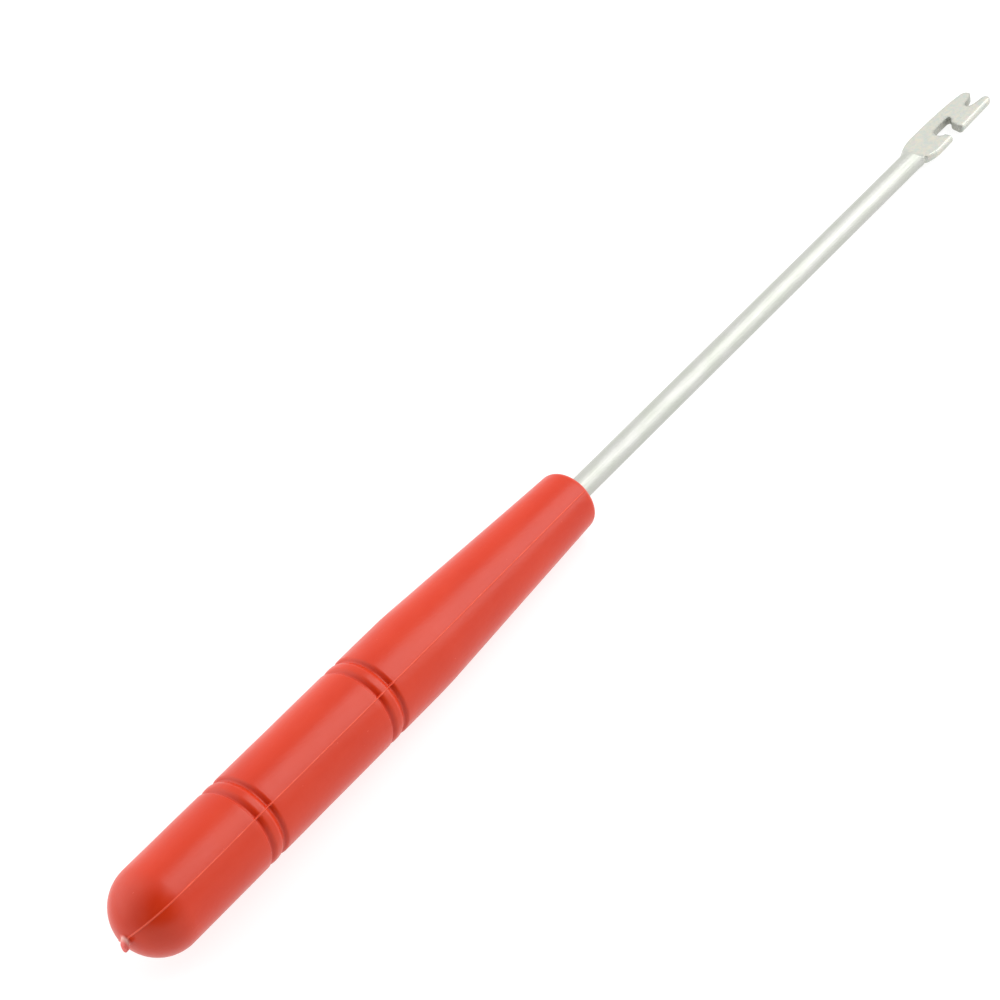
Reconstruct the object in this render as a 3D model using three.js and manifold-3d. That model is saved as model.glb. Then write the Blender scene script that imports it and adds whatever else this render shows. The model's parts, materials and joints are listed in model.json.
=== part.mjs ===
// Seam-opening hook: a moulded handle with a steel wire whose end is pressed flat, notched and forked.
// The wire and its pressed end are one piece of steel; they are two solids here, parted just behind the
// press marks, so that the notch and the fork stay open in collision.
// Everything is drawn along the tool's own axis (+X, from the butt of the handle to the tip, blade flat
// in XY, all in mm) and then laid down the way the free tool rests on a table: on the handle's shoulder
// and on the end of the round wire, with the blade just clear of the table.

import * as THREE from 'three';
import { mergeVertices } from 'three/addons/utils/BufferGeometryUtils.js';
import Module from 'manifold-3d';

// ---- driving sizes (mm) ----
const WIRE_DIAMETER = 3.0;
const HANDLE_LENGTH = 85;
const HANDLE_DIAMETER = 11.3;
const TOOL_LENGTH = 184;
const BLADE_LENGTH = 17.7;
const BLADE_WIDTH = 5.2;
const BLADE_THICKNESS = 1.2;

// ---- clearances ----
const SOCKET_CLEARANCE = 0.3; // all round the tang, where the real handle is shrunk on to it
const PART_LINE_GAP = 0.3; // between the wire and its pressed end
const OVERCUT = 1; // how far a cutter runs past the faces it cuts

// ---- handle ----
const HANDLE_RADIUS = HANDLE_DIAMETER / 2;
const TAPER_LENGTH = 0.382 * HANDLE_LENGTH;
const SHOULDER_X = HANDLE_LENGTH - TAPER_LENGTH;
const SHOULDER_BLEND = 60; // radius of the soft shoulder
const MOUTH_RADIUS = 0.726 * HANDLE_RADIUS; // of the taper carried on to the end face
const TAPER_ANGLE = Math.atan2(HANDLE_RADIUS - MOUTH_RADIUS, TAPER_LENGTH);
const MOUTH_FILLET = 1.0;
const RING_PAIR_X = [0.237 * HANDLE_LENGTH, 0.501 * HANDLE_LENGTH]; // middle of each pair of grooves
const GROOVE_PITCH = 2.0; // between the two grooves of a pair
const GROOVE_DEPTH = 0.45;
const GROOVE_RADIUS = 0.5;
const PARTING_ROLL = THREE.MathUtils.degToRad(47); // from the blade's upper face towards the notch
const FLASH_HEIGHT = 0.1;
const FLASH_WIDTH = 0.25;
const GATE_RADIUS = 0.6;
const GATE_HEIGHT = 0.8;
const GATE_ROOT = 0.4; // how far the gate's stub reaches into the dome

// ---- wire ----
const WIRE_RADIUS = WIRE_DIAMETER / 2;
const TANG_END_X = 0.35 * HANDLE_LENGTH;
const TANG_CHAMFER = 0.4;
const EAR_X = TANG_END_X + 8; // middle of the pinched ears that lock the tang in the plastic
const EAR_LENGTH = 6;
const EAR_SPAN = 1.4 * WIRE_DIAMETER;
const EAR_THICKNESS = 1.6;

// ---- blade ----
const BLADE_X = TOOL_LENGTH - BLADE_LENGTH; // where the wire starts to flare
const PRESS_START = -0.15; // the press's rounded edge meets the wire, measured from BLADE_X
const PRESS_END = 0.8; // and leaves the flat here
const STUB_LENGTH = 1.2; // of round wire kept on the blade, behind the press's edge
const FLARE_LENGTH = 4.0;
const FLARE_PULLS = [1.0, 1.7]; // where the flare's curve is drawn to, along the blade
const EDGE_BEVEL = 0.22;
const TIP_BACK_Y = 0.39 * BLADE_WIDTH; // edges of the blade just behind the rounded prong ends
const TIP_NOTCH_Y = -0.47 * BLADE_WIDTH;
const PRONG_ROUNDING = 0.5;

// side notch, on the -Y edge
const NOTCH_X = BLADE_X + 0.392 * BLADE_LENGTH; // blunt end of the prong on the wire's side
const NOTCH_MOUTH = 2.57; // from that prong to the block at the tip
const NOTCH_INNER_Y = 0.1 * BLADE_WIDTH;
const POCKET_RADIUS = 0.9; // of the round pocket towards the wire
const POCKET_SETBACK = 0.17; // of the pocket's centre from the prong's end
const POINT_REACH = 3.92; // of the pointed pocket towards the tip, from the prong's end
const POINT_Y = 0.15;
const POINT_ROUNDING = 0.5;
const HOOK_X = 0.2; // the block's inner edge leans this far towards the tip,
const HOOK_Y = -1.25; // this far from the axis, before it runs out square
const HOOK_EASE = 0.15;

// fork at the tip
const FORK_DEPTH = 3.4;
const FORK_Y = -0.08 * BLADE_WIDTH;
const FORK_ROOT_RADIUS = 0.5;
const FORK_MOUTH_HALF = 0.21 * BLADE_WIDTH;

// ---- facets ----
const HANDLE_FACETS = 48;
const WIRE_FACETS = 32;
const GATE_FACETS = 16;
const DOME_STEPS = 12;
const BLEND_STEPS = 3;
const FILLET_STEPS = 6;
const GROOVE_STEPS = 8;
const CURVE_STEPS = 10;

const wasm = await Module();
wasm.setup();

// ---------- helpers ----------

/** Points of a circular arc round (cx, cy), from angle a0 to a1 in degrees, both ends included. */
function arc(cx, cy, radius, a0, a1, steps) {
  return Array.from({ length: steps + 1 }, (_, i) => {
    const a = THREE.MathUtils.degToRad(a0 + ((a1 - a0) * i) / steps);
    return new THREE.Vector2(cx + radius * Math.cos(a), cy + radius * Math.sin(a));
  });
}

/** A profile of (x along the tool, radius) points revolved round the tool's axis, with a flat facet below. */
function revolve(profile, facets) {
  const turned = profile.map((p) => new THREE.Vector2(Math.max(p.y, 0), p.x));
  const halfFacet = Math.PI / facets;
  return new THREE.LatheGeometry(turned, facets, halfFacet).rotateZ(-Math.PI / 2);
}

function toSolid(geometry) {
  const bare = geometry.clone();
  bare.deleteAttribute('normal');
  bare.deleteAttribute('uv');
  const welded = mergeVertices(bare, 1e-5);
  return new wasm.Manifold(
    new wasm.Mesh({
      numProp: 3,
      vertProperties: new Float32Array(welded.attributes.position.array),
      triVerts: new Uint32Array(welded.index.array),
    }),
  );
}

function toMesh(solid, name, material) {
  const { vertProperties, triVerts } = solid.getMesh();
  const indexed = new THREE.BufferGeometry();
  indexed.setAttribute('position', new THREE.BufferAttribute(vertProperties, 3));
  indexed.setIndex(new THREE.BufferAttribute(triVerts, 1));
  const geometry = indexed.toNonIndexed();
  geometry.computeVertexNormals();
  const mesh = new THREE.Mesh(geometry, material);
  mesh.name = name;
  return mesh;
}

/** A plan outline in XY made into a plate centred on the tool's axis. */
function plate(shape, thickness, bevel = 0) {
  const depth = thickness - 2 * bevel;
  const geometry = new THREE.ExtrudeGeometry(shape, {
    depth,
    curveSegments: CURVE_STEPS,
    bevelEnabled: bevel > 0,
    bevelThickness: bevel,
    bevelSize: bevel,
    bevelOffset: -bevel,
    bevelSegments: 2,
  });
  return toSolid(geometry.translate(0, 0, -depth / 2));
}

// ---------- handle ----------

/** Butt of the handle: a round dome, from its pole to the cylinder. */
function domeProfile(grow) {
  return arc(HANDLE_RADIUS, 0, HANDLE_RADIUS + grow, 180, 90, DOME_STEPS);
}

/** Where the shoulder's blend starts, measured back from the corner it rounds off. */
function shoulderRun() {
  return SHOULDER_BLEND * Math.tan(TAPER_ANGLE / 2);
}

/** Soft shoulder, straight taper and rounded mouth, down to the axis on the end face. */
function noseProfile(grow) {
  const square = 90 - THREE.MathUtils.radToDeg(TAPER_ANGLE);
  const blend = SHOULDER_BLEND + grow;
  const filletX = HANDLE_LENGTH - MOUTH_FILLET;
  return [
    ...arc(SHOULDER_X - shoulderRun(), HANDLE_RADIUS - SHOULDER_BLEND, blend, 90, square, BLEND_STEPS),
    ...arc(filletX, MOUTH_RADIUS - MOUTH_FILLET + grow, MOUTH_FILLET, square, 0, FILLET_STEPS),
    new THREE.Vector2(HANDLE_LENGTH, 0),
  ];
}

/** Two rounded grooves with a rounded ridge between them, the three arcs tangent to each other. */
function ringPairProfile(x) {
  const half = GROOVE_PITCH / 2;
  const ridgeRadius = (half ** 2 + GROOVE_DEPTH ** 2) / (2 * GROOVE_DEPTH) - GROOVE_RADIUS;
  const centreY = HANDLE_RADIUS - GROOVE_DEPTH + GROOVE_RADIUS;
  const lip = THREE.MathUtils.radToDeg(Math.asin((GROOVE_RADIUS - GROOVE_DEPTH) / GROOVE_RADIUS));
  const rise = THREE.MathUtils.radToDeg(Math.asin(half / (GROOVE_RADIUS + ridgeRadius)));
  return [
    ...arc(x - half, centreY, GROOVE_RADIUS, 180 + lip, 270 + rise, GROOVE_STEPS),
    ...arc(x, HANDLE_RADIUS - ridgeRadius, ridgeRadius, 90 + rise, 90 - rise, FILLET_STEPS).slice(1, -1),
    ...arc(x + half, centreY, GROOVE_RADIUS, 270 - rise, 360 - lip, GROOVE_STEPS),
  ];
}

/** The thin wall of plastic squeezed out along the parting plane, bridging the grooves. */
function flashSolid() {
  const side = [...domeProfile(FLASH_HEIGHT), ...noseProfile(FLASH_HEIGHT)];
  const otherSide = side.slice(1, -1).reverse().map((p) => new THREE.Vector2(p.x, -p.y));
  return plate(new THREE.Shape([...side, ...otherSide]), FLASH_WIDTH);
}

/** Stub left on the butt where the moulding was broken off its runner. */
function gateSolid() {
  const profile = [
    new THREE.Vector2(GATE_ROOT, 0),
    new THREE.Vector2(GATE_ROOT, GATE_RADIUS),
    new THREE.Vector2(-GATE_HEIGHT / 2, GATE_RADIUS),
    new THREE.Vector2(-GATE_HEIGHT, GATE_RADIUS / 2),
    new THREE.Vector2(-GATE_HEIGHT, 0),
  ];
  return toSolid(revolve(profile.reverse(), GATE_FACETS));
}

function handleSolid() {
  const profile = [...domeProfile(0), ...RING_PAIR_X.flatMap(ringPairProfile), ...noseProfile(0)];
  const body = toSolid(revolve(profile, HANDLE_FACETS));
  const partingTurn = THREE.MathUtils.radToDeg(PARTING_ROLL) + 90;
  return body
    .add(flashSolid().rotate([partingTurn, 0, 0]))
    .add(gateSolid())
    .subtract(tangSolid(SOCKET_CLEARANCE, HANDLE_LENGTH + OVERCUT));
}

// ---------- wire ----------

/** Round wire from the tang's chamfered end to endX, with the ears, all grown by `grow`. */
function tangSolid(grow, endX) {
  const radius = WIRE_RADIUS + grow;
  const startX = TANG_END_X - grow;
  const wire = revolve(
    [
      new THREE.Vector2(startX, 0),
      new THREE.Vector2(startX, radius - TANG_CHAMFER),
      new THREE.Vector2(startX + TANG_CHAMFER, radius),
      new THREE.Vector2(endX, radius),
      new THREE.Vector2(endX, 0),
    ],
    WIRE_FACETS,
  );
  const run = EAR_LENGTH / 2 + grow;
  const reach = EAR_SPAN / 2 + grow;
  const ears = new THREE.Shape()
    .moveTo(EAR_X - run, 0)
    .quadraticCurveTo(EAR_X - run / 2, reach, EAR_X, reach)
    .quadraticCurveTo(EAR_X + run / 2, reach, EAR_X + run, 0)
    .quadraticCurveTo(EAR_X + run / 2, -reach, EAR_X, -reach)
    .quadraticCurveTo(EAR_X - run / 2, -reach, EAR_X - run, 0);
  return toSolid(wire).add(plate(ears, EAR_THICKNESS + 2 * grow));
}

/** What the press takes off the wire's top: a rounded ramp down to the blade's face. */
function pressCutter() {
  const flat = BLADE_THICKNESS / 2;
  const start = BLADE_X + PRESS_START;
  const end = BLADE_X + PRESS_END;
  const top = WIRE_RADIUS + OVERCUT;
  const side = new THREE.Shape()
    .moveTo(start, top)
    .lineTo(start, WIRE_RADIUS)
    .quadraticCurveTo(start + (end - start) / 3, flat, end, flat)
    .lineTo(end + OVERCUT, flat)
    .lineTo(end + OVERCUT, top);
  const width = 2 * (WIRE_RADIUS + OVERCUT);
  return plate(side, width).rotate([90, 0, 0]);
}

/** Outer edge of the blade before it is punched: flared shoulders, then almost parallel edges. */
function bladeOutline() {
  const half = BLADE_WIDTH / 2;
  const flareX = BLADE_X + FLARE_LENGTH;
  const [pull1, pull2] = FLARE_PULLS.map((x) => BLADE_X + x);
  const tipX = TOOL_LENGTH;
  const r = PRONG_ROUNDING;
  return new THREE.Shape()
    .moveTo(BLADE_X, -WIRE_RADIUS)
    .bezierCurveTo(pull1, -WIRE_RADIUS, pull2, -half, flareX, -half)
    .lineTo(tipX - r, TIP_NOTCH_Y)
    .quadraticCurveTo(tipX, TIP_NOTCH_Y, tipX, TIP_NOTCH_Y + r)
    .lineTo(tipX, TIP_BACK_Y - 2 * r)
    .quadraticCurveTo(tipX, TIP_BACK_Y, tipX - 3 * r, TIP_BACK_Y)
    .lineTo(flareX, half)
    .bezierCurveTo(pull2, half, pull1, WIRE_RADIUS, BLADE_X, WIRE_RADIUS);
}

/** Side notch: a round pocket towards the wire, a pointed one towards the tip, and a narrower mouth. */
function notchOutline() {
  const blockX = NOTCH_X + NOTCH_MOUTH;
  const pocketX = NOTCH_X + POCKET_SETBACK;
  const pocketY = NOTCH_INNER_Y - POCKET_RADIUS;
  const pointX = NOTCH_X + POINT_REACH;
  const outside = -BLADE_WIDTH / 2 - OVERCUT;
  return new THREE.Shape()
    .moveTo(NOTCH_X, outside)
    .lineTo(NOTCH_X, pocketY - POCKET_RADIUS)
    .absarc(pocketX, pocketY, POCKET_RADIUS, -Math.PI / 2, Math.PI / 2, true)
    .lineTo(pointX - POINT_ROUNDING, NOTCH_INNER_Y)
    .quadraticCurveTo(pointX, NOTCH_INNER_Y, pointX, POINT_Y)
    .quadraticCurveTo(blockX + HOOK_X + HOOK_EASE, HOOK_Y / 2, blockX + HOOK_X, HOOK_Y)
    .lineTo(blockX, TIP_NOTCH_Y + PRONG_ROUNDING)
    .quadraticCurveTo(blockX, TIP_NOTCH_Y, blockX + PRONG_ROUNDING, outside);
}

/** Slot that makes the two prongs: a round root opening out towards the tip. */
function forkOutline() {
  const rootX = TOOL_LENGTH - FORK_DEPTH + FORK_ROOT_RADIUS;
  const endX = TOOL_LENGTH + OVERCUT;
  return new THREE.Shape()
    .moveTo(endX, FORK_Y + FORK_MOUTH_HALF)
    .lineTo(rootX, FORK_Y + FORK_ROOT_RADIUS)
    .absarc(rootX, FORK_Y, FORK_ROOT_RADIUS, Math.PI / 2, -Math.PI / 2, false)
    .lineTo(endX, FORK_Y - FORK_MOUTH_HALF);
}

/** The round wire with its tang, up to the line where the blade's solid begins. */
function wireSolid() {
  return tangSolid(0, BLADE_X + PRESS_START - STUB_LENGTH - PART_LINE_GAP);
}

/** The pressed end: a stub of round wire, ramped down into the flat, notched and forked plate. */
function bladeSolid() {
  const startX = BLADE_X + PRESS_START - STUB_LENGTH;
  const endX = BLADE_X + PRESS_END;
  const stub = toSolid(
    revolve(
      [
        new THREE.Vector2(startX, 0),
        new THREE.Vector2(startX, WIRE_RADIUS),
        new THREE.Vector2(endX, WIRE_RADIUS),
        new THREE.Vector2(endX, 0),
      ],
      WIRE_FACETS,
    ),
  );
  const cutter = pressCutter();
  const punchDepth = BLADE_THICKNESS + 2 * OVERCUT;
  const flat = plate(bladeOutline(), BLADE_THICKNESS, EDGE_BEVEL)
    .subtract(plate(notchOutline(), punchDepth))
    .subtract(plate(forkOutline(), punchDepth));
  return stub.subtract(cutter).subtract(cutter.mirror([0, 0, 1])).add(flat);
}

// ---------- assembly ----------

const redPlastic = new THREE.MeshStandardMaterial({ color: 0xd2402a, roughness: 0.38, metalness: 0 });
const platedSteel = new THREE.MeshStandardMaterial({ color: 0xc9cac4, roughness: 0.32, metalness: 1 });

const tool = new THREE.Group();
tool.add(toMesh(handleSolid(), 'handle', redPlastic));
tool.add(toMesh(wireSolid(), 'wire', platedSteel));
tool.add(toMesh(bladeSolid(), 'blade', platedSteel));

/** How far the tool noses down: the table touches the shoulder's blend and the end of the round wire. */
function restingLean() {
  const run = BLADE_X + PRESS_START - (SHOULDER_X - shoulderRun());
  const rise = SHOULDER_BLEND - HANDLE_RADIUS + WIRE_RADIUS;
  return Math.asin(SHOULDER_BLEND / Math.hypot(run, rise)) - Math.atan2(rise, run);
}

const lay = new THREE.Matrix4().makeRotationY(restingLean());
tool.children.forEach((mesh) => mesh.geometry.applyMatrix4(lay));
const box = new THREE.Box3().setFromObject(tool);
const centre = box.getCenter(new THREE.Vector3());
tool.children.forEach((mesh) => mesh.geometry.translate(-centre.x, -centre.y, -box.min.z));
tool.name = 'seam_hook';

export default tool;
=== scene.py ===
"""Seam-opening hook: a moulded red handle on a plated steel rod whose end is pressed, notched and forked.

Both pieces are drawn in the tool's own frame, in millimetres: +X runs along the axis from the butt of the
handle to the tip, +Y points to the blade's back edge and +Z out of its upper face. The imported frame's
mounts say where the tool's frame lies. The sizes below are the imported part's, with finer detail added.
"""

import json
import math

import bpy
from mathutils import Matrix, Vector, geometry, noise


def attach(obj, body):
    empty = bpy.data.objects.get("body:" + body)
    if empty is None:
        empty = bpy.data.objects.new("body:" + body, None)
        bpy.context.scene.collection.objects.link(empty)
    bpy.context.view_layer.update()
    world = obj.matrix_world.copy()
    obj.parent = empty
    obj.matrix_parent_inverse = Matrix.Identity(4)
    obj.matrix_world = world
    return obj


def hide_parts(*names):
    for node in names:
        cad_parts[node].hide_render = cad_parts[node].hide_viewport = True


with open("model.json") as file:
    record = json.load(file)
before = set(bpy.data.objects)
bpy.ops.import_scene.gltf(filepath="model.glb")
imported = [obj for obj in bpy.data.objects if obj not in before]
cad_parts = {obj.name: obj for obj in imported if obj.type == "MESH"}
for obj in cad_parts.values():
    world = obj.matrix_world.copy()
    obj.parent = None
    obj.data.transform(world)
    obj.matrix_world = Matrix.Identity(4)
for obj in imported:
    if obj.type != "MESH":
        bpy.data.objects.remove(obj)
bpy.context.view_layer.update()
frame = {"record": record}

MM = 0.001

# ---- handle (mm) ----
HANDLE_LENGTH = 85
HANDLE_RADIUS = 5.65
TAPER_LENGTH = 0.382 * HANDLE_LENGTH
SHOULDER_X = HANDLE_LENGTH - TAPER_LENGTH
SHOULDER_BLEND = 60  # radius of the soft shoulder
MOUTH_RADIUS = 0.726 * HANDLE_RADIUS  # of the taper carried on to the end face
TAPER_ANGLE = math.degrees(math.atan2(HANDLE_RADIUS - MOUTH_RADIUS, TAPER_LENGTH))
MOUTH_FILLET = 1.0
RING_PAIR_X = (0.237 * HANDLE_LENGTH, 0.501 * HANDLE_LENGTH)  # middle of each pair of grooves
GROOVED_END = SHOULDER_X - 3  # every groove lies on the cylinder before here
GROOVE_PITCH = 2.2  # between the two grooves of a pair
GROOVE_DEPTH = 0.4
GROOVE_RADIUS = 0.32
OUTER_LIPS = (0.1, 0.5)  # rounding of a pair's outer edges, on the butt's side and the tip's
RIDGE_ROUNDING = 0.85  # of the ridge between the two grooves
GATE_RADIUS = 0.6
GATE_HEIGHT = 1.1
GATE_ROUNDING = 0.35
GATE_FOOT = 0.25  # fillet where the gate's stub grows out of the dome
BORE_RADIUS = 1.55
BORE_LIP = 0.15
BORE_CLEARANCE = 0.1  # between the pocket for the ears, and the bore's end, and the tang
BORE_RAMP = 0.8  # run of the cones at both ends of the pocket
NOSE_MOUNT_Z = 2.4  # the mount on the end face is this far above the axis
SWELL = 0.012  # how far the moulded surface wanders in and out

# ---- parting line (mm) ----
PARTING_ROLL = 47  # degrees from the blade's upper face towards the notch
SEAM_OFFSETS = (0.05, 0.09, 0.125, 0.17, 0.24, 0.38, 0.62, 1.0, 1.5)  # columns beside the seam
SEAM_REACH = 2.2  # below this radius the columns close in with the surface
COLUMNS_BETWEEN = 26
SEAM_WANDER = 0.05  # how far the seam strays sideways
FLASH_HALF_WIDTH = 0.088
FLASH_HEIGHT = 0.048
KINK_X = 7.6  # the flash is heaviest here
KINK_RUN = 1.2
KINK_EXTRA = 0.45  # how much heavier it is at the kink
BUTT_EXTRA = 0.25  # and how much heavier from the kink to the gate
BRIDGE_SHARE = 0.95  # of a groove's depth that the flash fills where it crosses
CUSP_HEIGHT = 0.045  # the surface rises this much towards the seam
CUSP_RUN = 1.3

# ---- rod (mm) ----
WIRE_RADIUS = 1.5
TANG_X = 29.75  # the hidden end of the rod
TANG_CHAMFER = 0.4
EAR_X = TANG_X + 8  # middle of the pinched ears that lock the tang in the plastic
EAR_RUN = 3
EAR_SPREAD = 0.6
EAR_HALF_THICKNESS = 0.8
EAR_PRESS_REACH = 1.8  # half height of the press beside the ears, clear of the wire
MID_WIRE_X = 60  # the rod is pressed at the ears before here, and at the blade after

# ---- blade (mm) ----
TOOL_LENGTH = 184
BLADE_X = 166.3
NOTCH_HALF_WIDTH = 2.5  # from the axis to the notched edge
BACK_HALF_WIDTH = 2.7  # and to the back edge
FACE_Z = 0.6
PRESS_START = BLADE_X - 0.15  # the press's rounded edge meets the wire
PRESS_END = BLADE_X + 0.8  # and leaves the flat here
RAMP_POWER = 1.35  # how hollow the ramp between them is
FLARE_END = BLADE_X + 4.0
FLARE_PULLS = (1.0, 1.7)  # where the flare's curve is drawn to: past its start, and past BLADE_X
BACK_FLARE_X = BLADE_X - 1.0  # the back side starts to flare before the notch side does
CREASE_X = BLADE_X + 1.0  # where the press's edge nips the notch side
CREASE_DEPTH = 0.17
CREASE_RUN = 0.2
MARK_PITCH = 0.36  # of the tool marks on the ramp
MARK_HEIGHT = 0.035
MARK_SLANT = 0.45
TIP_GROUND = 0.13  # each face is ground away by this much at the tip
EDGE_RADIUS = 0.85  # bulge of the pressed edges
CLIP_SOFTNESS = 0.1  # rounding where the press's height cuts the round wire
FACE_REACH = 0.09  # how far the edge curve runs on to the face
EDGE_STEPS = 16
FACE_STEPS = 40
PUNCH_ROUNDING = 0.05
PUNCH_SHARPNESS = 14  # how close to the face the punched wall starts to round
OUTLINE_STEP = 0.14
FACE_GRID = 0.3
ROW_SPACING = 0.87  # of the face grid's rows, as a share of its pitch

# ---- studio ----
CAMERA_ANGLES = (-46.551, 39.67, -11.807)  # azimuth, elevation and roll in degrees
CAMERA_AIM = (-12.11, 6.61, 6.0)  # mm, in the frame's own axes
CAMERA_DISTANCE = 431.93  # mm
CAMERA_LENS = 126.418
WORLD_LEVEL = 0.97
# Towards a direction, from one cosine to another, the light rises or falls by this much.
WORLD_LOBES = (
    ((-0.55, 0.7, 0.45), 0.3, 1.0, 1.2),
    ((-0.8, -0.45, 0.4), 0.2, 0.8, -0.94),
)
KEY_DIRECTION = (0.62, -0.46, 0.64)
KEY_DISTANCE = 0.46  # metres
KEY_SIZE = (0.34, 0.56)  # metres
KEY_RADIANCE = 2.75
FLOOR_HALF = 1.5  # metres


# ---------- small geometry helpers ----------


def arc(cx, cy, radius, start, end, steps):
    """Points of a circular arc, from one angle to the other in degrees, both ends included."""
    turns = (math.radians(start + (end - start) * i / steps) for i in range(steps + 1))
    return [(cx + radius * math.cos(a), cy + radius * math.sin(a)) for a in turns]


def line(a, b, pitch):
    """Points from a to b, about pitch apart, both ends included."""
    steps = max(1, round(math.dist(a, b) / pitch))
    return [tuple(p + (q - p) * i / steps for p, q in zip(a, b)) for i in range(steps + 1)]


def curve(a, b, c, d, steps):
    """A cubic Bezier curve from a to d."""
    points = geometry.interpolate_bezier(*(Vector(p) for p in (a, b, c, d)), steps + 1)
    return [tuple(p)[:2] for p in points]


def without_repeats(points):
    """Drops each point that lies on the one before it."""
    kept = points[:1]
    for p in points[1:]:
        if math.dist(p[:2], kept[-1][:2]) > 1e-4:
            kept.append(p)
    return kept


def smoothstep(low, high, value):
    """0 at low and 1 at high, with a smooth step between. Low may be the greater of the two."""
    t = min(max((value - low) / (high - low), 0), 1)
    return t * t * (3 - 2 * t)


def ripple(*place):
    """Smooth noise from about -1 to 1."""
    return noise.noise(Vector(place))


def soft_min(a, b, softness):
    """The smaller of two numbers, rounded off where they are nearly equal."""
    blend = max(softness - abs(a - b), 0)
    return min(a, b) - blend * blend / (4 * softness)


def make_object(name, verts_mm, faces, attributes, crease_degrees):
    """A mesh drawn in the tool's frame and laid where the tool lies.

    It keeps its millimetres in the tool's frame as the attribute `tool`, for the materials.
    """
    mesh = bpy.data.meshes.new(name)
    mesh.from_pydata([tuple(c * MM for c in v) for v in verts_mm], [], faces)
    drawn = mesh.attributes.new("tool", "FLOAT_VECTOR", "POINT")
    drawn.data.foreach_set("vector", [c for v in verts_mm for c in v])
    for attribute, values in attributes.items():
        made = mesh.attributes.new(attribute, "FLOAT", "POINT")
        made.data.foreach_set("value", values)
    mesh.transform(tool_frame())
    mesh.validate()
    mesh.shade_smooth()
    mesh.set_sharp_from_angle(angle=math.radians(crease_degrees))
    obj = bpy.data.objects.new(name, mesh)
    bpy.context.scene.collection.objects.link(obj)
    return obj


def tool_frame():
    """The tool's own frame, from the mounts on the end face of the handle and on the blade."""
    mounts = {m["name"]: m for m in frame["record"]["mounts"]}
    along = Vector(mounts["nose_end"]["axis"]).normalized()
    up = Vector(mounts["blade_face"]["axis"]).normalized()
    across = up.cross(along)
    nose = HANDLE_LENGTH * along + NOSE_MOUNT_Z * up
    origin = Vector(mounts["nose_end"]["pos_m"]) - nose * MM
    placed = Matrix((along, across, up)).transposed().to_4x4()
    placed.translation = origin
    return placed


# ---------- handle ----------


def ring_pair(x):
    """Two grooves with a rounded ridge between them, crisp on the butt's side and soft on the tip's."""
    half = GROOVE_PITCH / 2
    first = groove(x - half, OUTER_LIPS[0], RIDGE_ROUNDING)
    second = groove(x + half, RIDGE_ROUNDING, OUTER_LIPS[1])
    return [*first, *line(first[-1], second[0], 0.25), *second]


def groove(x, lip_before, lip_after):
    """A round-bottomed groove between two rounded lips."""
    centre = HANDLE_RADIUS - GROOVE_DEPTH + GROOVE_RADIUS
    run0, turn0 = groove_wall(lip_before)
    run1, turn1 = groove_wall(lip_after)
    return [
        *arc(x - run0, HANDLE_RADIUS - lip_before, lip_before, 90, turn0, 6),
        *arc(x, centre, GROOVE_RADIUS, 180 + turn0, 360 - turn1, 14),
        *arc(x + run1, HANDLE_RADIUS - lip_after, lip_after, 180 - turn1, 90, 6),
    ]


def groove_wall(lip):
    """How far a lip's centre lies from its groove's centre, and the angle at which their arcs meet."""
    rise = GROOVE_RADIUS + lip - GROOVE_DEPTH
    run = math.sqrt((GROOVE_RADIUS + lip) ** 2 - rise**2)
    return run, math.degrees(math.atan2(rise, run))


def gate_profile():
    """(x, radius) of the broken gate's stub and its foot on the dome."""
    end_x = GATE_ROUNDING - GATE_HEIGHT
    foot_x = 0.06 - GATE_FOOT
    return [
        *arc(end_x, GATE_RADIUS - GATE_ROUNDING, GATE_ROUNDING, 180, 90, 5),
        *line((end_x, GATE_RADIUS), (foot_x, GATE_RADIUS), 0.12),
        *arc(foot_x, GATE_RADIUS + GATE_FOOT, GATE_FOOT, -90, -9, 5),
    ]


def mouth_profile():
    """(x, radius) of the rounded rim at the end of the taper."""
    x, radius = HANDLE_LENGTH - MOUTH_FILLET, MOUTH_RADIUS - MOUTH_FILLET
    return arc(x, radius, MOUTH_FILLET, 90 - TAPER_ANGLE, 0, 9)


def bore_profile():
    """(x, radius) down the bore, over the pocket for the ears, to the closed end."""
    pocket_radius = WIRE_RADIUS + EAR_SPREAD + BORE_CLEARANCE
    end_x = TANG_X - BORE_CLEARANCE
    return [
        (EAR_X + EAR_RUN + BORE_RAMP, BORE_RADIUS),
        (EAR_X + EAR_RUN, pocket_radius),
        (EAR_X - EAR_RUN, pocket_radius),
        (EAR_X - EAR_RUN - BORE_RAMP, BORE_RADIUS),
        (end_x, BORE_RADIUS),
        (end_x, BORE_RADIUS / 2),
    ]


def handle_profile():
    """(x, radius) from the broken gate's end, over the outside and down the bore to its closed end."""
    dome = arc(HANDLE_RADIUS, 0, HANDLE_RADIUS, 170, 90, 30)
    first, second = (ring_pair(x) for x in RING_PAIR_X)
    blend_x = SHOULDER_X - SHOULDER_BLEND * math.tan(math.radians(TAPER_ANGLE / 2))
    shoulder = arc(blend_x, HANDLE_RADIUS - SHOULDER_BLEND, SHOULDER_BLEND, 90, 90 - TAPER_ANGLE, 6)
    mouth = mouth_profile()
    lip = arc(HANDLE_LENGTH - BORE_LIP, BORE_RADIUS + BORE_LIP, BORE_LIP, 0, -90, 4)
    return without_repeats(
        [
            *gate_profile(),
            *dome,
            *line(dome[-1], first[0], 0.7),
            *first,
            *line(first[-1], second[0], 0.7),
            *second,
            *line(second[-1], shoulder[0], 0.8),
            *shoulder,
            *line(shoulder[-1], mouth[0], 0.8),
            *mouth,
            *line(mouth[-1], lip[0], 0.3),
            *lip,
            *bore_profile(),
        ]
    )


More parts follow.
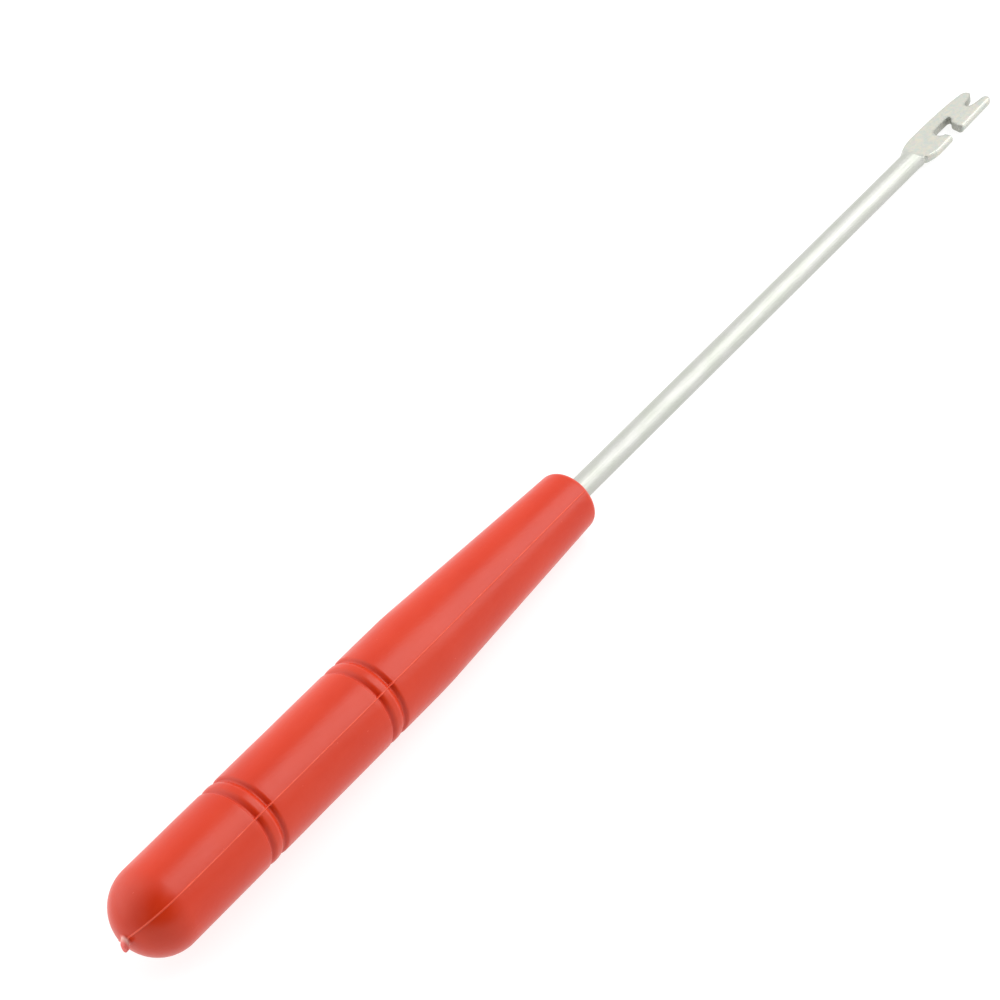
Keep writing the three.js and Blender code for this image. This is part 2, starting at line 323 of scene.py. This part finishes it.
def seam_columns(radius):
    """(angle round the handle, signed distance to the nearer seam in mm) of every column."""
    reach = max(radius, SEAM_REACH)
    beside = [d / reach for d in SEAM_OFFSETS]
    near = [-a for a in reversed(beside)] + [0.0] + beside
    gap = math.pi - 2 * beside[-1]
    between = [beside[-1] + gap * i / COLUMNS_BETWEEN for i in range(1, COLUMNS_BETWEEN)]
    half = near + between
    placed = []
    for side in (0, math.pi):
        for a in half:
            nearest = a if a < math.pi / 2 else a - math.pi
            placed.append((a + side, nearest * radius))
    return placed


def flash_scale(x):
    """Width and height of the flash against its usual size: heavier from the gate to the kink."""
    butt = BUTT_EXTRA * smoothstep(KINK_X + KINK_RUN, KINK_X, x)
    kink = KINK_EXTRA * math.exp(-((x - KINK_X) ** 2))
    return 1 + butt + kink


def flash_height(x):
    """Height of the flash along the parting line, ragged in places."""
    ragged = 1 + 0.45 * ripple(x * 0.9, 3.1, 0) + 0.3 * ripple(x * 3.3, 7.7, 0)
    return FLASH_HEIGHT * ragged * flash_scale(x)


def handle_relief(x, across, depth):
    """Height over the moulded envelope, and how much of it is flash, at a distance across the seam."""
    d = abs(across)
    at_mouth = smoothstep(HANDLE_LENGTH, HANDLE_LENGTH - 1.5, x)
    at_gate = smoothstep(-0.9, 0.3, x)
    fades = at_mouth * at_gate
    half_width = FLASH_HALF_WIDTH * flash_scale(x)
    ridge = 1 - smoothstep(0.35 * half_width, half_width, d)
    web = 1 - smoothstep(0.4 * half_width, 1.5 * half_width, d)
    cusp = CUSP_HEIGHT * (math.exp(-d / CUSP_RUN) - 0.5)
    bridge = min(depth, GROOVE_DEPTH) * BRIDGE_SHARE
    return fades * (flash_height(x) * ridge + bridge * web + cusp), fades * ridge


def handle_normals(profile):
    """Outward direction of the moulded envelope at each profile point: radial across the grooves."""
    normals = []
    for i, (x, r) in enumerate(profile):
        x0, r0 = profile[max(i - 1, 0)]
        x1, r1 = profile[min(i + 1, len(profile) - 1)]
        length = math.hypot(x1 - x0, r1 - r0)
        on_cylinder = HANDLE_RADIUS < x < SHOULDER_X
        normals.append((0, 1) if on_cylinder else ((r0 - r1) / length, (x1 - x0) / length))
    return normals


def handle_vertex(x, radius, angle, across, normal, outside):
    """One vertex of the handle and its share of flash."""
    turn = math.radians(PARTING_ROLL) + angle
    lift, flash = 0.0, 0.0
    if outside:
        depth = HANDLE_RADIUS - radius if HANDLE_RADIUS < x < GROOVED_END else 0
        wander = SEAM_WANDER * ripple(x * 0.11, 0.5, 0)
        lift, flash = handle_relief(x, across + wander, depth)
        turn_y, turn_z = math.sin(turn) * radius, math.cos(turn) * radius
        lift += SWELL * ripple(x * 0.18, turn_y * 0.25, turn_z * 0.25)
    x += normal[0] * lift
    radius += normal[1] * lift
    y, z = -math.sin(turn) * radius, math.cos(turn) * radius
    if x < 0.1:
        x, y, z = bent_gate(x, y, z)
    return (x, y, z), flash


def bent_gate(x, y, z):
    """The gate's stub leans and is torn where it was twisted off its runner."""
    reach = 0.1 - x
    torn = 0.13 * smoothstep(0.3, 1.0, reach)
    y += -0.6 * reach**1.2 + torn * ripple(x * 1.6, y * 1.8, z * 1.8)
    z += -0.3 * reach**1.2 + torn * ripple(x * 1.6 + 9, y * 1.8, z * 1.8)
    x += 1.5 * torn * ripple(5, y * 1.7, z * 1.7)
    return x, y, z


def build_handle():
    """The moulding: rings of vertices along the profile, with a fan over each end."""
    profile = handle_profile()
    normals = handle_normals(profile)
    mouth_at = max(range(len(profile)), key=lambda i: profile[i][0])
    verts, flash = [], []
    columns = len(seam_columns(1))
    for i, ((x, radius), normal) in enumerate(zip(profile, normals)):
        for angle, across in seam_columns(radius):
            place, share = handle_vertex(x, radius, angle, across, normal, i <= mouth_at)
            verts.append(place)
            flash.append(share)
    rows = len(profile)
    faces = ring_faces(rows, columns)
    for row in (0, rows - 1):
        centre = len(verts)
        ring = [row * columns + j for j in range(columns)]
        middle = [sum(verts[v][k] for v in ring) / columns for k in range(3)]
        verts.append(tuple(middle))
        flash.append(0.0)
        for j, v in enumerate(ring):
            after = ring[(j + 1) % columns]
            faces.append((centre, v, after) if row else (centre, after, v))
    gate = [smoothstep(0.02, -0.35, v[0]) for v in verts]
    return make_object("handle_moulding", verts, faces, {"flash": flash, "gate": gate}, 50)


def ring_faces(rows, columns):
    """Quads between rings that follow each other from the first vertex on and close round."""
    faces = []
    for i in range(rows - 1):
        for j in range(columns):
            k = (j + 1) % columns
            a, b = i * columns, (i + 1) * columns
            faces.append((a + j, a + k, b + k, b + j))
    return faces


# ---------- rod ----------


def ear_share(x, half_length):
    """1 along the middle of the ears, over this half length, and 0 past their ends."""
    before = smoothstep(EAR_X - EAR_RUN, EAR_X - half_length, x)
    after = smoothstep(EAR_X + EAR_RUN, EAR_X + half_length, x)
    return before * after


def rod_half_width(x, flare_x, blade_half_width):
    """From the axis to one side of the rod: pinched ears in the handle, then round, then flared."""
    if x < flare_x:
        return WIRE_RADIUS + EAR_SPREAD * ear_share(x, 1)
    pulls = [(flare_x, WIRE_RADIUS), (flare_x + FLARE_PULLS[0], WIRE_RADIUS)]
    pulls += [(BLADE_X + FLARE_PULLS[1], blade_half_width), (FLARE_END, blade_half_width)]
    flare = curve(*[(*p, 0) for p in pulls], 60)
    for (x0, y0), (x1, y1) in zip(flare, flare[1:]):
        if x <= x1 + 1e-9:
            return y0 + (y1 - y0) * (x - x0) / (x1 - x0)
    return blade_half_width


def press_marks(x, y, upper):
    """Slanting tool marks on the ramp that the press left."""
    if not PRESS_START - 0.2 < x < PRESS_END + 0.2:
        return 0.0
    started = smoothstep(PRESS_START - 0.1, PRESS_START + 0.15, x)
    ended = smoothstep(PRESS_END + 0.1, PRESS_END - 0.15, x)
    on_ramp = started * ended
    phase = (y + MARK_SLANT * (x - PRESS_START)) / MARK_PITCH + (0 if upper else 0.4)
    phase += 0.5 * ripple(x * 1.5, y * 1.7, 4)
    strength = 0.7 + 0.5 * ripple(y * 2.1, 8, x)
    return MARK_HEIGHT * strength * on_ramp * abs(math.sin(math.pi * phase))


def press_height(x, y, upper=True):
    """Half thickness that the press leaves at a point of the rod."""
    if x < MID_WIRE_X:
        return EAR_PRESS_REACH - (EAR_PRESS_REACH - EAR_HALF_THICKNESS) * ear_share(x, 1.5)
    run = (x - PRESS_START) / (PRESS_END - PRESS_START)
    if run <= 0:
        return WIRE_RADIUS + 0.15 - 0.6 * run
    drop = (1 - min(run, 1)) ** RAMP_POWER
    side = 0 if upper else 31
    wavy = 0.008 * ripple(x * 0.7, y * 0.7, 1.5 + side) + 0.005 * ripple(x * 2.1, y * 2.1, 6 + side)
    ground = TIP_GROUND * smoothstep(TOOL_LENGTH - 0.75, TOOL_LENGTH + 0.1, x)
    flat = FACE_Z + wavy - ground
    return flat + (WIRE_RADIUS + 0.1 - FACE_Z) * drop + press_marks(x, y, upper)


def edge_bulge(x):
    """Radius of the rod's side: the wire's own, then the pressed edge's."""
    return WIRE_RADIUS + (EDGE_RADIUS - WIRE_RADIUS) * smoothstep(PRESS_START + 0.2, FLARE_END - 0.8, x)


def edge_curve(bulge, height):
    """(inset from the widest point, height) down one side, from the upper face to the lower."""
    largest_sine, smallest_cosine = 0.945, 0.3
    corner = math.asin(min(height / bulge, largest_sine))
    inset = bulge * (1 - math.cos(corner)) + (FACE_REACH if height < bulge else 0)
    reach = math.acos(max(1 - inset / bulge, smallest_cosine))
    turns = (reach * (1 - 2 * k / EDGE_STEPS) for k in range(EDGE_STEPS + 1))
    return [(bulge * (1 - math.cos(a)), bulge * math.sin(a)) for a in turns]


def clipped(x, y, height):
    """The pressed height of a point that was at this height before."""
    limit = press_height(x, y, height > 0)
    return math.copysign(soft_min(abs(height), limit, CLIP_SOFTNESS), height)


def rod_section(x, shrink=0.0):
    """One ring of the rod: down the notch side, along the bottom, up the back side, along the top."""
    tallest_side = 1.42
    bulge = edge_bulge(x) - shrink
    crease = CREASE_DEPTH * math.exp(-(((x - CREASE_X) / CREASE_RUN) ** 2))
    notch_side = shrink + crease - rod_half_width(x, BLADE_X, NOTCH_HALF_WIDTH)
    back_side = rod_half_width(x, BACK_FLARE_X, BACK_HALF_WIDTH) - shrink
    pressed = press_height(x, 0)
    side = edge_curve(bulge, pressed if x > MID_WIRE_X else min(pressed, tallest_side))
    first, last = notch_side + side[0][0], back_side - side[0][0]
    across = [first + (last - first) * k / FACE_STEPS for k in range(1, FACE_STEPS)]
    beyond = [max(notch_side + bulge - y, y - back_side + bulge, 0) for y in across]
    face = [(y, math.sqrt(max(bulge**2 - d**2, 0))) for y, d in zip(across, beyond)]
    ring = [(notch_side + inset, z) for inset, z in side]
    ring += [(y, -z) for y, z in face]
    ring += [(back_side - inset, -z) for inset, z in side]
    ring += [(y, z) for y, z in reversed(face)]
    return [(x, y, clipped(x, y, z)) for y, z in ring]


def rod_stations():
    """Where the rod's sections are, closest together at the press marks."""
    starts_and_pitches = [
        (TANG_X + TANG_CHAMFER, 1.5),
        (EAR_X - EAR_RUN, 0.4),
        (EAR_X + EAR_RUN, 3),
        (BACK_FLARE_X, 0.1),
        (PRESS_START - 0.4, 0.05),
        (PRESS_END + 0.15, 0.14),
    ]
    ends = [x for x, _ in starts_and_pitches[1:]] + [FLARE_END]
    points = []
    for (start, pitch), end in zip(starts_and_pitches, ends):
        points += line((start, 0), (end, 0), pitch)
    return [x for x, _ in without_repeats(points)]


def blade_outline():
    """Stretches of the blade's outline from the notch side round the tip: (points, bulge at start, at end).

    Pressed edges bulge (1) and punched walls don't (0).
    """
    half = NOTCH_HALF_WIDTH
    near_y, far_y = -2.36, 2.12
    step = OUTLINE_STEP
    return [
        (line((FLARE_END, -half), (173.26, -half + 0.02), step), 1, 1),
        ([(173.26, -half + 0.02), *line((173.24, -2.0), (173.22, -1.32), step)], 0, 0),
        (arc(173.41, -0.42, 0.92, -102, -270, 16), 0, 0),
        (curve((173.41, 0.5), (174.4, 0.62), (175.6, 0.56), (176.55, 0.55), 22), 0, 0),
        (curve((176.55, 0.55), (177.05, 0.56), (177.32, 0.33), (177.1, 0.08), 8), 0, 0),
        (curve((177.1, 0.08), (176.75, -0.3), (176.2, -0.35), (176.12, -0.95), 12), 0, 0),
        (line((176.12, -0.95), (175.84, -1.95), step), 0, 0),
        (arc(176.36, -1.98, 0.52, 177, 268, 9), 0, 1),
        (line((176.34, -2.5), (183.3, near_y), step), 1, 1),
        (curve((183.3, near_y), (183.8, near_y), (184.06, -2.2), (184.08, -1.9), 7), 1, 0.5),
        (curve((184.08, -1.9), (184.1, -1.52), (183.9, -1.34), (183.5, -1.28), 8), 0.5, 0),
        (curve((183.5, -1.28), (182.6, -1.15), (181.5, -1.1), (180.95, -0.86), 14), 0, 0),
        (arc(181.12, -0.38, 0.51, 250, 97, 12), 0, 0),
        (curve((181.06, 0.13), (182.0, 0.22), (182.7, 0.34), (183.2, 0.53), 16), 0, 0),
        (curve((183.2, 0.53), (183.6, 0.68), (183.79, 0.9), (183.76, 1.2), 6), 0, 0.5),
        (curve((183.76, 1.2), (183.7, 1.65), (183.3, 1.98), (182.6, far_y), 10), 0.5, 1),
        (curve((182.6, far_y), (179.5, 2.6), (176.0, 2.62), (173.0, BACK_HALF_WIDTH), 66), 1, 1),
        (line((173.0, BACK_HALF_WIDTH), (FLARE_END, BACK_HALF_WIDTH), step), 1, 1),
    ]


def outline_chain():
    """The outline's points, and between each two of them a bulge and an outward direction."""
    points, bulges = [], []
    for stretch, b0, b1 in blade_outline():
        steps = len(stretch) - 1
        for i, p in enumerate(stretch[:-1]):
            if points and math.dist(p, points[-1]) < 1e-3:
                points.pop()
            points.append(p)
            del bulges[len(points) - 1 :]
            bulges.append(b0 + (b1 - b0) * (i + 0.5) / steps)
    points.append((FLARE_END, BACK_HALF_WIDTH))
    normals = []
    for (x0, y0), (x1, y1) in zip(points, points[1:]):
        length = math.hypot(x1 - x0, y1 - y0)
        normals.append(((y1 - y0) / length, (x0 - x1) / length))
    return points, bulges, normals


def edge_inset(k, bulge, side):
    """How far ring k of the edge lies inside the outline: a bulged edge, a punched one, or between."""
    inset, height = side[k]
    punched = PUNCH_ROUNDING * (abs(height) / side[0][1]) ** PUNCH_SHARPNESS
    return bulge * inset + (1 - bulge) * punched


def mitred(point, n0, n1, inset0, inset1):
    """Where the two edges that meet at a point cross once each has moved in."""
    nearly_straight = 0.3
    det = n0[0] * n1[1] - n0[1] * n1[0]
    if abs(det) < nearly_straight:
        x, y = n0[0] + n1[0], n0[1] + n1[1]
        length = math.hypot(x, y)
        inset = (inset0 + inset1) / 2
        return point[0] - inset * x / length, point[1] - inset * y / length
    x = (-inset0 * n1[1] + inset1 * n0[1]) / det
    y = (-inset1 * n0[0] + inset0 * n1[0]) / det
    return point[0] + x, point[1] + y


def blade_edge(verts, punched, first, last):
    """Rings down the blade's edge, between the rod's last ring on the notch side and on the back side."""
    side = edge_curve(edge_bulge(FLARE_END), press_height(FLARE_END, 0))
    points, bulges, normals = outline_chain()
    rings = [first]
    for i in range(1, len(points) - 1):
        ring = []
        for k, (_, height) in enumerate(side):
            inset0 = edge_inset(k, bulges[i - 1], side)
            inset1 = edge_inset(k, bulges[i], side)
            x, y = mitred(points[i], normals[i - 1], normals[i], inset0, inset1)
            ring.append(len(verts))
            verts.append((x, y, clipped(x, y, height)))
            punched.append(1 - (bulges[i - 1] + bulges[i]) / 2)
        rings.append(ring)
    rings.append(last)
    return rings


def build_rod():
    """The rod: rings from the tang to the end of the flare, the blade's edge, and its two faces."""
    sections = [rod_section(TANG_X, TANG_CHAMFER), *(rod_section(x) for x in rod_stations())]
    columns = len(sections[0])
    verts = [v for section in sections for v in section]
    punched = [0.0] * len(verts)
    faces = ring_faces(len(sections), columns)
    faces.append(tuple(reversed(range(columns))))

    # The last section runs down the notch side, along the bottom, up the back side and along the top.
    edge = EDGE_STEPS + 1
    row = FACE_STEPS - 1
    notch_side = len(verts) - columns
    bottom = notch_side + edge
    back_side = bottom + row
    top = back_side + edge
    first = list(range(notch_side, bottom))
    last = list(range(back_side, top))[::-1]
    rings = blade_edge(verts, punched, first, last)
    for a, b in zip(rings, rings[1:]):
        for k in range(edge - 1):
            faces.append((a[k], a[k + 1], b[k + 1], b[k]))

    top_loop = [ring[0] for ring in rings] + list(range(top, top + row))
    bottom_loop = [ring[-1] for ring in rings] + list(range(bottom, back_side))[::-1]
    cap_face(verts, faces, punched, top_loop, bottom_loop)
    return make_object("steel_rod", verts, faces, {"punched": punched}, 38)


def face_grid(outline):
    """Points inside the outline, in staggered rows."""
    inner = []
    x = FLARE_END + FACE_GRID / 2
    row = 0
    while x < TOOL_LENGTH:
        y = -NOTCH_HALF_WIDTH + (FACE_GRID / 2 if row % 2 else 0)
        while y < BACK_HALF_WIDTH:
            if clear_inside(Vector((x, y)), outline):
                inner.append(Vector((x, y)))
            y += FACE_GRID
        x += FACE_GRID * ROW_SPACING
        row += 1
    return inner


def cap_face(verts, faces, punched, top_loop, bottom_loop):
    """Closes the blade's two faces with the same triangles, on a grid fine enough to undulate."""
    outline = [Vector(verts[v][:2]) for v in top_loop]
    loop = list(range(len(outline)))
    found = geometry.delaunay_2d_cdt(outline + face_grid(outline), [], [loop], 1, 1e-6)
    coords, _, triangles, sources = found[:4]
    upper, lower = {}, {}
    for i, source in enumerate(sources):
        boundary = [s for s in source if s < len(outline)]
        if boundary:
            upper[i], lower[i] = top_loop[boundary[0]], bottom_loop[boundary[0]]
            continue
        px, py = coords[i]
        upper[i] = len(verts)
        verts.append((px, py, clipped(px, py, 1)))
        lower[i] = len(verts)
        verts.append((px, py, clipped(px, py, -1)))
        punched += [0.0, 0.0]
    for triangle in triangles:
        a, b, c = triangle
        ccw = (coords[b] - coords[a]).cross(coords[c] - coords[a]) > 0
        a, b, c = (a, b, c) if ccw else (a, c, b)
        faces.append((upper[a], upper[b], upper[c]))
        faces.append((lower[c], lower[b], lower[a]))


def clear_inside(point, outline):
    """True if a point lies inside the outline and not close to it."""
    inside = False
    for a, b in zip(outline, outline[1:] + outline[:1]):
        if (a.y > point.y) != (b.y > point.y):
            if point.x < a.x + (point.y - a.y) * (b.x - a.x) / (b.y - a.y):
                inside = not inside
        if (a - point).length < 0.5 * FACE_GRID:
            return False
    return inside


# ---------- materials ----------


RED_DEEP = (0.58, 0.028, 0.003, 1)
RED_LIGHT = (0.63, 0.035, 0.005, 1)
RED_CLOUD = (0.64, 0.048, 0.011, 1)
SPECK_PINK = (0.85, 0.16, 0.1, 1)
# Paler orange painted on the flash: a painted highlight of light shining through its thin plastic and
# catching its edge.
FLASH_HIGHLIGHT_PINK = (0.85, 0.095, 0.04, 1)
GATE_PINK = (0.85, 0.14, 0.14, 1)
# Pale pink for the gate's root: partly stress whitening, partly a painted highlight.
GATE_WHITENING_AND_HIGHLIGHT = (0.86, 0.5, 0.44, 1)
PLATE_WARM = (0.555, 0.558, 0.53, 1)
PLATE_COOL = (0.525, 0.54, 0.492, 1)
PRESSED_WARM = (0.65, 0.62, 0.53, 1)
PRESSED_COOL = (0.54, 0.585, 0.545, 1)
PRESSED_BLUSH = (0.63, 0.565, 0.57, 1)
LINE_GREY = (0.5, 0.505, 0.475, 1)
PIT_GREY = (0.42, 0.42, 0.4, 1)
WALL_GREY = (0.4, 0.41, 0.38, 1)


def feed(tree, socket, value):
    """Links a socket to another, or sets it to a number, colour or vector."""
    if isinstance(value, bpy.types.NodeSocket):
        tree.links.new(value, socket)
    else:
        socket.default_value = value


class Nodes:
    """Builds one material's nodes. Patterns are laid out in millimetres of the tool's frame."""

    def __init__(self, name):
        self.material = bpy.data.materials.new(name)
        self.material.use_nodes = True
        self.tree = self.material.node_tree
        self.shader = self.tree.nodes["Principled BSDF"]
        self.place = self.add("ShaderNodeAttribute", attribute_name="tool").outputs["Vector"]

    def add(self, kind, inputs=(), **settings):
        """A new node with these inputs, each a value or another node's output."""
        made = self.tree.nodes.new(kind)
        for key, value in settings.items():
            setattr(made, key, value)
        for key, value in dict(inputs).items():
            feed(self.tree, made.inputs[key], value)
        return made

    def mapped(self, per_mm, offset=(0, 0, 0)):
        """Coordinates with this many noise cells for each millimetre along X, Y and Z."""
        inputs = {"Vector": self.place, "Scale": per_mm, "Location": offset}
        return self.add("ShaderNodeMapping", inputs).outputs["Vector"]

    def noise(self, per_mm, detail=2.0, roughness=0.5, offset=(0, 0, 0)):
        """Noise from 0 to 1, mostly near 0.5."""
        inputs = {
            "Vector": self.mapped(per_mm, offset),
            "Scale": 1.0,
            "Detail": detail,
            "Roughness": roughness,
        }
        return self.add("ShaderNodeTexNoise", inputs).outputs["Fac"]

    def ramp(self, value, low, high, to_low=0.0, to_high=1.0):
        """A value carried from one range to another and held at both ends."""
        inputs = {"Value": value, "From Min": low, "From Max": high, "To Min": to_low, "To Max": to_high}
        return self.add("ShaderNodeMapRange", inputs).outputs["Result"]

    def math(self, operation, a, b=0.0):
        return self.add("ShaderNodeMath", {0: a, 1: b}, operation=operation).outputs[0]

    def mix(self, factor, a, b):
        """Mixes two colours. The colour sockets of a Mix node are reached by number."""
        made = self.add("ShaderNodeMix", {"Factor": factor, 6: a, 7: b}, data_type="RGBA")
        return made.outputs[2]

    def along(self):
        """Distance along the tool from the butt, in mm."""
        return self.add("ShaderNodeSeparateXYZ", {0: self.mapped((1, 1, 1))}).outputs["X"]

    def attribute(self, name):
        return self.add("ShaderNodeAttribute", attribute_name=name).outputs["Fac"]

    def bump(self, height, depth_mm, normal=None):
        inputs = {"Height": height, "Strength": 1.0, "Distance": depth_mm * MM}
        if normal is not None:
            inputs["Normal"] = normal
        return self.add("ShaderNodeBump", inputs).outputs["Normal"]

    def set(self, **values):
        """Sets or links the shader's own sockets, named with underscores for spaces."""
        for name, value in values.items():
            feed(self.tree, self.shader.inputs[name.replace("_", " ")], value)


def red_plastic():
    """Satin moulded plastic: faint flow variation, orange peel, fine scuffs, a flash painted paler as a
    highlight of light through and on its thin edge, and a torn gate whose pale root is stress whitening
    with a painted highlight.
    """
    n = Nodes("red_plastic")
    flow = n.noise((0.06, 0.16, 0.16), 3)
    cloud = n.noise((0.3, 0.5, 0.5), 4, 0.6, (4, 2, 9))
    base = n.mix(n.ramp(flow, 0.35, 0.65), RED_DEEP, RED_LIGHT)
    base = n.mix(n.ramp(cloud, 0.45, 0.75, 0, 0.25), base, RED_CLOUD)
    specks = n.ramp(n.noise((2.6, 2.6, 2.6), 1, 0.5, (7, 1, 3)), 0.785, 0.82, 0, 0.4)
    base = n.mix(specks, base, SPECK_PINK)
    flash = n.attribute("flash")
    # Painted highlight: the flash's colour is mixed towards a paler orange in place of light through and on
    # its thin edge.
    flash_highlight = n.math("MULTIPLY", flash, n.ramp(n.noise((0.8, 0.8, 0.8)), 0.3, 0.7, 0.55, 1))
    base = n.mix(flash_highlight, base, FLASH_HIGHLIGHT_PINK)
    gate = n.attribute("gate")
    along = n.along()
    base = n.mix(n.math("MULTIPLY", gate, 0.6), base, GATE_PINK)
    # The gate is painted paler towards its root on the dome: partly stress whitening, partly a painted
    # highlight on the stub.
    whitening_and_highlight = n.math("MULTIPLY", gate, n.ramp(along, -0.75, -0.35, 0.1, 0.9))
    base = n.mix(whitening_and_highlight, base, GATE_WHITENING_AND_HIGHLIGHT)
    scuffs = n.noise((0.25, 3.5, 3.5), 3, 0.6, (2, 5, 1))
    rough = n.math("ADD", n.ramp(cloud, 0.3, 0.7, 0.29, 0.37), n.ramp(scuffs, 0.55, 0.8, 0, 0.07))
    rough = n.math("ADD", rough, n.math("MULTIPLY", gate, 0.25))
    peel = n.bump(n.noise((1.4, 1.4, 1.4), 2, 0.4), 0.012)
    scratched = n.bump(scuffs, 0.006, peel)
    n.set(Base_Color=base, Roughness=rough, Normal=scratched, IOR=1.4)
    return n.material


def plated_steel():
    """Bright plated steel: drawn lines along the wire, cross lines on the blade, darker punched walls."""
    n = Nodes("plated_steel")
    along = n.along()
    blade = n.ramp(along, PRESS_END - 0.3, PRESS_END + 0.6)
    punched = n.attribute("punched")
    drawn = n.noise((0.12, 5.5, 5.5), 3, 0.6)
    crossed = n.noise((5.5, 0.9, 5.5), 3, 0.6, (1, 6, 2))
    torn = n.noise((6, 6, 0.5), 2, 0.6, (5, 2, 8))
    grain = n.noise((4.5, 4.5, 4.5), 3, 0.7, (8, 8, 1))
    tint = n.ramp(n.noise((0.25, 0.6, 0.6), 2, 0.5, (6, 1, 4)), 0.35, 0.65)
    base = n.mix(tint, PLATE_WARM, PLATE_COOL)
    mottle = n.ramp(n.noise((1.1, 1.4, 1.4), 4, 0.7, (2, 9, 3)), 0.36, 0.62)
    blush = n.ramp(n.noise((1.3, 1.7, 1.7), 3, 0.6, (9, 4, 7)), 0.5, 0.7, 0, 0.7)
    pressed = n.mix(mottle, PRESSED_WARM, PRESSED_COOL)
    pressed = n.mix(blush, pressed, PRESSED_BLUSH)
    base = n.mix(blade, base, pressed)
    lines = n.math("ADD", drawn, n.math("MULTIPLY", blade, n.math("SUBTRACT", crossed, drawn)))
    base = n.mix(n.ramp(lines, 0.3, 0.5, 0.22, 0), base, LINE_GREY)
    pits = n.math("MULTIPLY", n.ramp(grain, 0.6, 0.72), 0.55)
    base = n.mix(pits, base, PIT_GREY)
    wall = n.math("MULTIPLY", punched, n.ramp(torn, 0.3, 0.7, 0.35, 0.9))
    base = n.mix(wall, base, WALL_GREY)
    rough = n.math("ADD", n.ramp(lines, 0.3, 0.7, 0.54, 0.64), n.math("MULTIPLY", blade, 0.02))
    rough = n.math("ADD", rough, n.math("MULTIPLY", punched, 0.1))
    scored = n.bump(lines, 0.035)
    pitted = n.bump(grain, 0.03, scored)
    n.set(Base_Color=base, Roughness=rough, Normal=pitted, Metallic=1.0)
    return n.material


def floor_white():
    """Matt white, lit a little from within so that shadows stay light."""
    n = Nodes("floor_white")
    n.set(Base_Color=(0.3, 0.3, 0.3, 1), Roughness=0.9, Specular_IOR_Level=0.1)
    n.set(Emission_Color=(1, 1, 1, 1), Emission_Strength=0.8)
    return n.material


# ---------- studio ----------


def add_camera():
    """Long lens from the butt's side and above, rolled so that the tool runs up to the right."""
    azimuth, elevation, roll = (math.radians(a) for a in CAMERA_ANGLES)
    back = Vector(
        (
            math.sin(azimuth) * math.cos(elevation),
            -math.cos(azimuth) * math.cos(elevation),
            math.sin(elevation),
        )
    )
    level = Vector((0, 0, 1)).cross(back).normalized()
    upright = back.cross(level)
    right = level * math.cos(roll) + upright * math.sin(roll)
    up = back.cross(right)
    camera = bpy.data.objects.new("camera", bpy.data.cameras.new("camera"))
    camera.data.lens = CAMERA_LENS
    camera.data.clip_start = 0.01
    placed = Matrix((right, up, back)).transposed().to_4x4()
    placed.translation = Vector(CAMERA_AIM) * MM + back * (CAMERA_DISTANCE * MM)
    camera.matrix_world = placed
    bpy.context.scene.collection.objects.link(camera)
    bpy.context.scene.camera = camera


def add_softbox(name, direction, distance, size, radiance):
    """A rectangular light of this radiance that faces the tool."""
    light = bpy.data.lights.new(name, "AREA")
    light.shape = "RECTANGLE"
    light.size, light.size_y = size
    light.energy = radiance * math.pi * size[0] * size[1]
    obj = bpy.data.objects.new(name, light)
    toward = Vector(direction).normalized()
    obj.rotation_euler = toward.to_track_quat("Z", "Y").to_euler()
    obj.location = toward * distance
    bpy.context.scene.collection.objects.link(obj)


def add_lobe(tree, coordinates, total, direction, low, high, change):
    """Adds to the surroundings' strength a soft-edged lobe of light, or of shade if change is negative."""
    toward = tree.nodes.new("ShaderNodeVectorMath")
    toward.operation = "DOT_PRODUCT"
    toward.inputs[1].default_value = Vector(direction).normalized()
    tree.links.new(coordinates.outputs["Generated"], toward.inputs[0])
    fall = tree.nodes.new("ShaderNodeMapRange")
    fall.interpolation_type = "SMOOTHSTEP"
    for key, value in {"From Min": low, "From Max": high, "To Min": 0, "To Max": change}.items():
        fall.inputs[key].default_value = value
    tree.links.new(toward.outputs["Value"], fall.inputs["Value"])
    added = tree.nodes.new("ShaderNodeMath")
    added.operation = "ADD"
    tree.links.new(fall.outputs["Result"], added.inputs[0])
    feed(tree, added.inputs[1], total)
    return added.outputs["Value"]


def add_world():
    """Soft surroundings: brighter over the back, dim on the photographer's side."""
    world = bpy.data.worlds.new("studio")
    bpy.context.scene.world = world
    world.use_nodes = True
    tree = world.node_tree
    background = tree.nodes["Background"]
    background.inputs["Color"].default_value = (1, 1, 1, 1)
    coordinates = tree.nodes.new("ShaderNodeTexCoord")
    total = WORLD_LEVEL
    for lobe in WORLD_LOBES:
        total = add_lobe(tree, coordinates, total, *lobe)
    feed(tree, background.inputs["Strength"], total)


def add_floor():
    """A plain pale table under the tool."""
    size = FLOOR_HALF
    mesh = bpy.data.meshes.new("floor")
    corners = [(-size, -size, 0), (size, -size, 0), (size, size, 0), (-size, size, 0)]
    mesh.from_pydata(corners, [], [(0, 1, 2, 3)])
    mesh.materials.append(floor_white())
    floor = bpy.data.objects.new("floor", mesh)
    bpy.context.scene.collection.objects.link(floor)


# ---------- put together ----------


def main():
    """The two pieces on the part's one body, and the studio round them."""
    handle = build_handle()
    handle.data.materials.append(red_plastic())
    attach(handle, "root")
    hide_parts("handle")

    rod = build_rod()
    rod.data.materials.append(plated_steel())
    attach(rod, "root")
    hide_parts("wire", "blade")

    add_camera()
    add_world()
    add_softbox("key", KEY_DIRECTION, KEY_DISTANCE, KEY_SIZE, KEY_RADIANCE)
    add_floor()
    bpy.context.scene.view_settings.view_transform = "Standard"


main()
